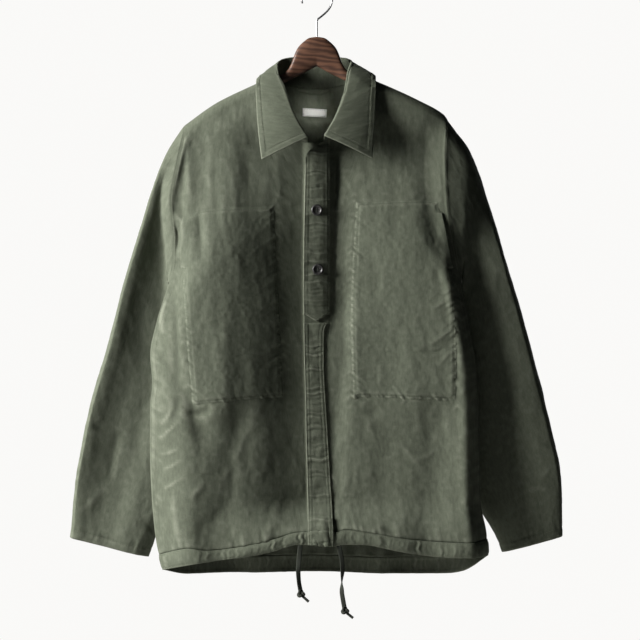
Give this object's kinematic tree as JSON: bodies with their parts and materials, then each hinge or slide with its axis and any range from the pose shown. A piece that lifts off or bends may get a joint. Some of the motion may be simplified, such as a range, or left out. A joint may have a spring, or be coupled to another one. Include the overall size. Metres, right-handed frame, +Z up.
{
  "type": "army jacket on a wooden hanger",
  "caption": "Loose cotton army shirt jacket with patch pockets, a buttoned half placket and a drawstring hem, hung on a wooden hanger with a steel wire hook.",
  "frame": {"origin": "inner top of the steel hook, where a rail or peg carries the hanger", "axes": "+Z up, the jacket's front faces -Y, the wearer's left is at +X"},
  "size_m": [0.7738, 0.1437, 0.9861],
  "materials": {
    "olive_cotton": "matte cotton, washed, worn lighter along its edges",
    "pocket_cotton": "matte cotton",
    "tape_cotton": "flat woven tape",
    "bare_label": "smooth woven, bare",
    "dark_button": "satin",
    "stained_wood": "dark stain, satin lacquer",
    "steel_wire": "bare drawn wire"
  },
  "bodies": {
    "root": {"front_right": "olive_cotton", "front_left": "olive_cotton", "back": "olive_cotton", "hem_band_right": "olive_cotton", "hem_band_left": "olive_cotton", "hem_band_back": "olive_cotton", "pocket_right": "pocket_cotton", "pocket_left": "pocket_cotton", "placket": "olive_cotton", "fly_strip": "olive_cotton", "sleeve_right": "olive_cotton", "sleeve_left": "olive_cotton", "collar": "olive_cotton", "button_upper": "dark_button", "button_lower": "dark_button", "label": "bare_label", "hanging_loop": "olive_cotton", "drawstring_right": "tape_cotton", "drawstring_left": "tape_cotton", "knot_right": "tape_cotton", "knot_left": "tape_cotton", "hanger": "stained_wood", "hook": "steel_wire"}
  },
  "joints": []
}
